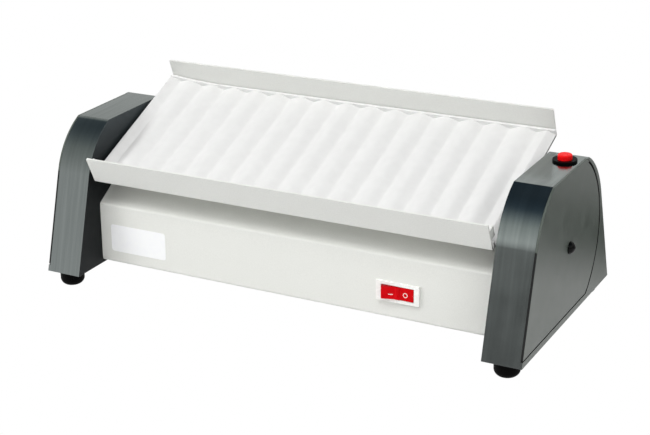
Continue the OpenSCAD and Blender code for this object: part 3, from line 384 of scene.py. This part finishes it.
MAT_SIZES = {
    "Ridge pitch": RIDGE_PITCH * MM, "Ridge rise": RIDGE_RISE * MM, "Valley height": VALLEY_T * MM,
    "Ridge shift": RIDGE_SHIFT * MM, "End flat": END_FLAT * MM,
    "Curl rise": CURL_RISE * MM, "Curl reach": CURL_REACH * MM,
    "Rim width": RIM_W * MM, "Rim height": RIM_T * MM, "Mat length": MAT_L * MM, "Mat depth": MAT_D * MM,
}
# Power of the sine that a ridge's section follows: 1 makes sharp valleys, 2 valleys as broad as the ridges
ROUNDNESS = 1.35
# Points along the ridged top and along the slab and rims, and the rounding of the finished mat's edges
TOP_POINTS, SLAB_POINTS, MAT_EDGE, MAT_EDGE_STEPS = 1023, 62, 0.5, 3


def mat_tree():
    """Geometry nodes that build the mat, level and with its middle at the origin, from MAT_SIZES."""
    tree = bpy.data.node_groups.new("ridged_mat", "GeometryNodeTree")
    tree.interface.new_socket(name="Mat", in_out="OUTPUT", socket_type="NodeSocketGeometry")
    for name in MAT_SIZES:
        tree.interface.new_socket(name=name, in_out="INPUT", socket_type="NodeSocketFloat")
    tree.interface.new_socket(name="Skin", in_out="INPUT", socket_type="NodeSocketMaterial")
    given = add(tree, "NodeGroupInput").outputs

    def block(size, place):
        cube = add(tree, "GeometryNodeMeshCube", {"Size": size, "Vertices X": SLAB_POINTS}).outputs["Mesh"]
        return add(tree, "GeometryNodeTransform", {"Geometry": cube, "Translation": place}).outputs[0]

    pitch, rise, valley = given["Ridge pitch"], given["Ridge rise"], given["Valley height"]
    length = given["Mat length"]
    x, y, _ = add(tree, "ShaderNodeSeparateXYZ", {0: add(tree, "GeometryNodeInputPosition")}).outputs
    ridge_l = add(tree, "ShaderNodeMath", {0: given["Mat depth"], 1: given["Rim width"]}, operation="SUBTRACT")
    shifted = add(tree, "ShaderNodeMath", {0: x, 1: given["Ridge shift"]}, operation="SUBTRACT")
    across = add(tree, "ShaderNodeMath", {0: shifted, 1: pitch, 2: 0.0}, operation="WRAP")
    part_way = add(tree, "ShaderNodeMath", {0: across, 1: pitch}, operation="DIVIDE")
    turn = add(tree, "ShaderNodeMath", {0: part_way, 1: math.pi}, operation="MULTIPLY")
    half_l = add(tree, "ShaderNodeMath", {0: length, 1: 0.5}, operation="MULTIPLY")
    to_right = add(tree, "ShaderNodeMath", {0: half_l, 1: x}, operation="SUBTRACT")
    full = add(tree, "ShaderNodeMath", {0: to_right, 1: given["End flat"]}, operation="DIVIDE", use_clamp=True)
    full_rise = add(tree, "ShaderNodeMath", {0: rise, 1: full}, operation="MULTIPLY")
    sine = add(tree, "ShaderNodeMath", {0: turn}, operation="SINE")
    arch = add(tree, "ShaderNodeMath", {0: sine, 1: ROUNDNESS}, operation="POWER")
    wave = add(tree, "ShaderNodeMath", {0: arch, 1: full_rise}, operation="MULTIPLY")
    top = add(tree, "ShaderNodeMath", {0: valley, 1: wave}, operation="ADD")
    sheet = add(tree, "GeometryNodeMeshGrid", {
        "Size X": length, "Size Y": ridge_l, "Vertices X": TOP_POINTS, "Vertices Y": 2}).outputs["Mesh"]
    ridges = add(tree, "GeometryNodeSetPosition", {
        "Geometry": sheet, "Offset": add(tree, "ShaderNodeCombineXYZ", {"Z": top})}).outputs[0]
    smooth = add(tree, "GeometryNodeSetShadeSmooth", {"Geometry": ridges, "Shade Smooth": True}).outputs[0]
    beside = add(tree, "GeometryNodeInputMeshEdgeNeighbors").outputs[0]
    border = add(tree, "FunctionNodeCompare", {2: beside, 3: 1}, data_type="INT", operation="EQUAL")
    to_base = add(tree, "ShaderNodeMath", {0: valley, 1: -1.0}, operation="MULTIPLY")
    down = add(tree, "ShaderNodeCombineXYZ", {"Z": to_base})
    skirt = add(tree, "GeometryNodeExtrudeMesh", {
        "Mesh": smooth, "Selection": border.outputs[0], "Offset": down}, mode="EDGES").outputs[0]
    slab_z = add(tree, "ShaderNodeMath", {0: valley, 1: 0.5}, operation="MULTIPLY")
    slab_size = add(tree, "ShaderNodeCombineXYZ", {"X": length, "Y": ridge_l, "Z": valley})
    slab = block(slab_size, add(tree, "ShaderNodeCombineXYZ", {"Z": slab_z}))
    rim_size = add(tree, "ShaderNodeCombineXYZ", {
        "X": length, "Y": given["Rim width"], "Z": given["Rim height"]})
    rim_z = add(tree, "ShaderNodeMath", {0: given["Rim height"], 1: 0.5}, operation="MULTIPLY")
    rims = []
    for side in (-0.5, 0.5):
        rim_y = add(tree, "ShaderNodeMath", {0: ridge_l, 1: side}, operation="MULTIPLY")
        rims.append(block(rim_size, add(tree, "ShaderNodeCombineXYZ", {"Y": rim_y, "Z": rim_z})))
    whole = add(tree, "GeometryNodeJoinGeometry")
    for part in (skirt, slab, *rims):
        tree.links.new(part, whole.inputs[0])
    real = add(tree, "GeometryNodeRealizeInstances", {0: whole.outputs[0]}).outputs[0]
    from_left = add(tree, "ShaderNodeMath", {0: x, 1: half_l}, operation="ADD")
    left_part = add(tree, "ShaderNodeMath", {0: from_left, 1: given["Curl reach"]}, operation="DIVIDE")
    near_left = add(tree, "ShaderNodeMath", {0: 1.0, 1: left_part}, operation="SUBTRACT", use_clamp=True)
    rear_part = add(tree, "ShaderNodeMath", {0: y, 1: given["Mat depth"]}, operation="DIVIDE")
    near_rear = add(tree, "ShaderNodeMath", {0: 0.5, 1: rear_part}, operation="ADD", use_clamp=True)
    left_bend = add(tree, "ShaderNodeMath", {0: near_left, 1: near_left}, operation="MULTIPLY")
    bend = add(tree, "ShaderNodeMath", {0: left_bend, 1: near_rear}, operation="MULTIPLY")
    lift = add(tree, "ShaderNodeMath", {0: given["Curl rise"], 1: bend}, operation="MULTIPLY")
    curl = add(tree, "ShaderNodeCombineXYZ", {"Z": lift})
    curled = add(tree, "GeometryNodeSetPosition", {"Geometry": real, "Offset": curl}).outputs[0]
    done = add(tree, "GeometryNodeSetMaterial", {"Geometry": curled, "Material": given["Skin"]}).outputs[0]
    add(tree, "NodeGroupOutput", {"Mat": done})
    return tree


def make_mat():
    """Builds the mat and lays it on the tilted tray."""
    helper = bpy.data.objects.new("helper", bpy.data.meshes.new("helper"))
    bpy.context.scene.collection.objects.link(helper)
    modifier = helper.modifiers.new("ridges", "NODES")
    modifier.node_group = mat_tree()
    values = dict(MAT_SIZES, Skin=mat_skin)
    for item in modifier.node_group.interface.items_tree:
        if item.in_out == "INPUT":
            modifier[item.identifier] = values[item.name]
    graph = bpy.context.evaluated_depsgraph_get()
    mesh = bpy.data.meshes.new_from_object(helper.evaluated_get(graph), depsgraph=graph)
    bpy.data.objects.remove(helper)
    mesh = as_built(mesh, ("BEVEL", {
        "width": MAT_EDGE * MM, "segments": MAT_EDGE_STEPS, "limit_method": "ANGLE", "angle_limit": SHARP}))
    mesh.transform(Matrix.Translation((0, 0, AXIS_Z * MM)) @ Matrix.Rotation(REST_TILT, 4, "X")
                   @ Matrix.Translation((0, 0, (TRAY_RISE + TRAY_SHEET) * MM)))
    make_piece("tube_mat_finished", mesh, "tray", "white_mat", mat_skin, "tube_mat")


make_mat()


# Bare label and the switch's marks: thin plates laid on a face

def panel_place(x, up):
    """Place on the front panel, with X along it, Z up it and -Y out of it."""
    return (Matrix.Translation((0, -BASE_HALF * MM, BASE_Z * MM)) @ Matrix.Rotation(-PANEL_LEAN, 4, "X")
            @ Matrix.Translation((x * MM, 0, up * MM)))


# How far a thin plate reaches into the face that it lies on
SUNK = 0.01


def plate(cells, thickness, place):
    """A thin plate that stands out towards -Y; its cells are lists of corners (x, z) in millimetres."""
    shape = bmesh.new()
    corners = {}
    for cell in cells:
        for point in cell:
            if point not in corners:
                corners[point] = shape.verts.new((point[0] * MM, SUNK * MM, point[1] * MM))
        shape.faces.new([corners[point] for point in cell])
    made = bmesh.ops.extrude_face_region(shape, geom=shape.faces[:])["geom"]
    bmesh.ops.translate(shape, verts=[v for v in made if isinstance(v, bmesh.types.BMVert)],
                        vec=(0, -(thickness + SUNK) * MM, 0))
    bmesh.ops.recalc_face_normals(shape, faces=shape.faces)
    mesh = bpy.data.meshes.new("plate")
    shape.to_mesh(mesh)
    shape.free()
    mesh.transform(place)
    return mesh


def circle_points(x, z, r, start=0, end=360, steps=8):
    """Points of an arc, rounded so that shared corners match."""
    turns = [math.radians(start + (end - start) * i / steps) for i in range(steps + 1)]
    return [(round(x + r * math.cos(t), 5), round(z + r * math.sin(t), 5)) for t in turns]


# The label: its middle along and up the panel, half sizes, corner radius and thickness
LABEL_X, LABEL_UP, LABEL_HALF_W, LABEL_HALF_H, LABEL_R, LABEL_T = -123.4, 19.3, 23.4, 10.1, 2.0, 0.12
outline = []
for start, sx, sz in ((0, 1, 1), (90, -1, 1), (180, -1, -1), (270, 1, -1)):
    corner_x, corner_z = sx * (LABEL_HALF_W - LABEL_R), sz * (LABEL_HALF_H - LABEL_R)
    outline += circle_points(corner_x, corner_z, LABEL_R, start, start + 90)
label = plate([outline], LABEL_T, panel_place(LABEL_X, LABEL_UP))
make_piece("blank_label", label, "base", "white_plastic", label_film)

# The rocker's marks: places out from its middle and up from its centre line, half sizes and radii
DASH_OUT, DASH_UP, DASH_HALF_W, DASH_HALF_H = 4.7, -1.0, 1.6, 0.3
RING_OUT, RING_UP, RING_OUTER, RING_INNER, RING_STEPS, PRINT_T = 5.5, -0.5, 1.7, 1.25, 32, 0.04


def rocker_mark(name, side, out, up, cells):
    """A print on one wing of the rocker, out from its middle and up from its centre line."""
    slope = math.atan2(ROCKER_EDGE - ROCKER_MIDDLE, ROCKER_HALF)
    depth = ROCKER_MIDDLE + out * math.tan(slope)
    place = (panel_place(SWITCH_X, SWITCH_UP) @ Matrix.Translation((0, ROCKER_AXIS * MM, 0))
             @ Matrix.Rotation(ROCKER_TILT, 4, "Z")
             @ Matrix.Translation((side * out * MM, -depth * MM, up * MM))
             @ Matrix.Rotation(-side * slope, 4, "Z"))
    make_piece(name, plate(cells, PRINT_T, place), "rocker", "white_plastic", white_print)


dash = [(sx * DASH_HALF_W, sz * DASH_HALF_H) for sx, sz in ((-1, -1), (1, -1), (1, 1), (-1, 1))]
rocker_mark("rocker_dash", -1, DASH_OUT, DASH_UP, [dash])
outer, inner = (circle_points(0, 0, r, steps=RING_STEPS) for r in (RING_OUTER, RING_INNER))
ring = [[outer[i], outer[i + 1], inner[i + 1], inner[i]] for i in range(RING_STEPS)]
rocker_mark("rocker_ring", 1, RING_OUT, RING_UP, ring)


# Camera, floor and light

def aimed(yaw, pitch, roll):
    """Turning matrix of a camera that looks along +Y before it is turned; all in degrees."""
    y, p, r = (math.radians(v) for v in (yaw, pitch, roll))
    ahead = Vector((-math.sin(y) * math.cos(p), math.cos(y) * math.cos(p), -math.sin(p)))
    right = Vector((math.cos(y), math.sin(y), 0))
    up = right.cross(ahead)
    turned_right = math.cos(r) * right + math.sin(r) * up
    turned_up = -math.sin(r) * right + math.cos(r) * up
    return Matrix((turned_right, turned_up, -ahead)).transposed()


# The camera that was fitted to the photograph: lens in mm, place in m, then yaw, pitch and roll in degrees
CAMERA_LENS, CAMERA_AT, CAMERA_TURN = 85.42, (0.48966, -0.88493, 0.44801), (28.848, 21.321, -1.484)
camera_data = bpy.data.cameras.new("camera")
camera_data.lens = CAMERA_LENS
camera_data.sensor_width = 36
camera = bpy.data.objects.new("camera", camera_data)
camera.matrix_world = Matrix.Translation(CAMERA_AT) @ aimed(*CAMERA_TURN).to_4x4()
bpy.context.scene.collection.objects.link(camera)
bpy.context.scene.camera = camera


# Floor: gap below the feet in mm and half its side in m; then how glossy faces see it, by the distance behind
# the object's middle in m, darker at the back
FLOOR_GAP, FLOOR_HALF = 0.2, 3
FLOOR_GLOW = ((0.08, "ffffff"), (0.17, "202020"), (0.21, "202020"), (0.26, "b0b0b0"), (0.32, "cccccc"))


def set_ramp(node, stops):
    """Gives a colour ramp its stops, which are (position, sRGB hex)."""
    ramp = node.color_ramp
    ramp.elements.remove(ramp.elements[1])
    ramp.elements[0].position = stops[0][0]
    ramp.elements[0].color = colour(stops[0][1])
    for position, code in stops[1:]:
        ramp.elements.new(position).color = colour(code)


def make_floor():
    """A pale floor: white to the camera, bright to glossy faces except at the back, clear from below."""
    shape = bmesh.new()
    bmesh.ops.create_grid(shape, x_segments=1, y_segments=1, size=FLOOR_HALF)
    mesh = bpy.data.meshes.new("floor")
    shape.to_mesh(mesh)
    shape.free()
    floor = bpy.data.objects.new("floor", mesh)
    bpy.context.scene.collection.objects.link(floor)
    floor.location.z = -FLOOR_GAP * MM
    material, tree = new_material("pale_floor")
    paper = add(tree, "ShaderNodeBsdfDiffuse", {"Color": (0.8, 0.8, 0.8, 1)}).outputs[0]
    white = add(tree, "ShaderNodeEmission", {"Color": (1, 1, 1, 1), "Strength": 1.0}).outputs[0]
    clear = add(tree, "ShaderNodeBsdfTransparent").outputs[0]
    path = add(tree, "ShaderNodeLightPath")
    place = add(tree, "ShaderNodeTexCoord").outputs["Object"]
    back = add(tree, "ShaderNodeSeparateXYZ", {0: place}).outputs["Y"]
    glow = add(tree, "ShaderNodeValToRGB", {0: back})
    set_ramp(glow, FLOOR_GLOW)
    mirrored = add(tree, "ShaderNodeEmission", {"Color": glow.outputs[0], "Strength": 1.0}).outputs[0]
    to_glossy = path.outputs["Is Glossy Ray"]
    lit = add(tree, "ShaderNodeMixShader", {0: to_glossy, 1: paper, 2: mirrored}).outputs[0]
    seen = add(tree, "ShaderNodeMixShader", {0: path.outputs["Is Camera Ray"], 1: lit, 2: white}).outputs[0]
    below = add(tree, "ShaderNodeNewGeometry").outputs["Backfacing"]
    close(tree, add(tree, "ShaderNodeMixShader", {0: below, 1: seen, 2: clear}).outputs[0])
    mesh.materials.append(material)


make_floor()


# Studio as glossy faces see it, by the sine of the height: a bright wall, then darker up to a navy ceiling
WALL = ((0.0, "ffffff"), (0.3, "d9dbd9"), (0.45, "c6c9c7"), (0.62, "b0b5b3"), (0.74, "828b8e"),
        (0.85, "3c4a55"), (0.95, "26323b"), (1.0, "707478"))
# Strength of the wall, how much it is shaded and brightened, and the plain light for all else
WALL_LEVEL, SHADE, GLOW, PLAIN_LEVEL = 0.95, 0.84, 0.9, 0.48


def make_world():
    """White to the camera, a studio wall to glossy faces, plain even light to the rest."""
    world = bpy.data.worlds.new("studio")
    bpy.context.scene.world = world
    world.use_nodes = True
    tree = world.node_tree
    tree.nodes.clear()
    path = add(tree, "ShaderNodeLightPath")
    ahead = add(tree, "ShaderNodeSeparateXYZ", {0: add(tree, "ShaderNodeTexCoord").outputs["Generated"]})
    wall = add(tree, "ShaderNodeValToRGB", {0: ahead.outputs["Z"]})
    set_ramp(wall, WALL)

    def along(axis, start, end, most=1.0):
        """Rises from 0 at start to most at end along an axis of the studio."""
        reach = {"Value": ahead.outputs[axis], "From Min": start, "From Max": end, "To Max": most}
        return add(tree, "ShaderNodeMapRange", reach).outputs["Result"]

    # The wall is even at the left; the rest is shaded low in front and at the back, and brighter in between
    away = along("X", -0.56, -0.29)
    low, back, over = along("Z", 0.2, 0.16), along("Y", 0.1, 0.4, 0.5), along("Z", 0.22, 0.32)
    dim = add(tree, "ShaderNodeMath", {0: low, 1: back}, operation="MAXIMUM")
    shaded = add(tree, "ShaderNodeMath", {0: away, 1: dim}, operation="MULTIPLY")
    bright = add(tree, "ShaderNodeMath", {0: away, 1: over}, operation="MULTIPLY")
    lifted = add(tree, "ShaderNodeMath", {0: bright, 1: GLOW, 2: WALL_LEVEL}, operation="MULTIPLY_ADD")
    shade = add(tree, "ShaderNodeMath", {0: shaded, 1: SHADE}, operation="MULTIPLY")
    level = add(tree, "ShaderNodeMath", {0: lifted, 1: shade}, operation="SUBTRACT")
    mirrored = add(tree, "ShaderNodeBackground", {"Color": wall.outputs[0], "Strength": level}).outputs[0]
    plain = add(tree, "ShaderNodeBackground", {"Color": (1, 1, 1, 1), "Strength": PLAIN_LEVEL}).outputs[0]
    white = add(tree, "ShaderNodeBackground", {"Color": (1, 1, 1, 1), "Strength": 1.0}).outputs[0]
    to_glossy = path.outputs["Is Glossy Ray"]
    lit = add(tree, "ShaderNodeMixShader", {0: to_glossy, 1: plain, 2: mirrored}).outputs[0]
    sky = add(tree, "ShaderNodeMixShader", {0: path.outputs["Is Camera Ray"], 1: lit, 2: white}).outputs[0]
    add(tree, "ShaderNodeOutputWorld", {"Surface": sky})


make_world()


# The point that the lamps are aimed at, in m
AIM = (0, 0, 0.06)


def softbox(name, place, size, power):
    """A soft lamp aimed at the object, which glossy faces don't mirror; sizes in m, power in W."""
    light = bpy.data.lights.new(name, "AREA")
    light.shape = "RECTANGLE"
    light.size, light.size_y = size
    light.energy = power
    lamp = bpy.data.objects.new(name, light)
    lamp.location = place
    lamp.rotation_euler = (Vector(AIM) - Vector(place)).to_track_quat("-Z", "Y").to_euler()
    lamp.visible_glossy = False
    bpy.context.scene.collection.objects.link(lamp)


softbox("left", (-1.4, -0.9, 1.2), (0.8, 0.8), 12)
softbox("high", (0.0, -0.8, 1.6), (1.2, 0.6), 13)
softbox("right", (1.5, -0.8, 0.7), (0.8, 0.8), 3)
softbox("back", (0.4, 1.6, 0.7), (1.0, 0.6), 6)

bpy.context.scene.view_settings.view_transform = "Standard"
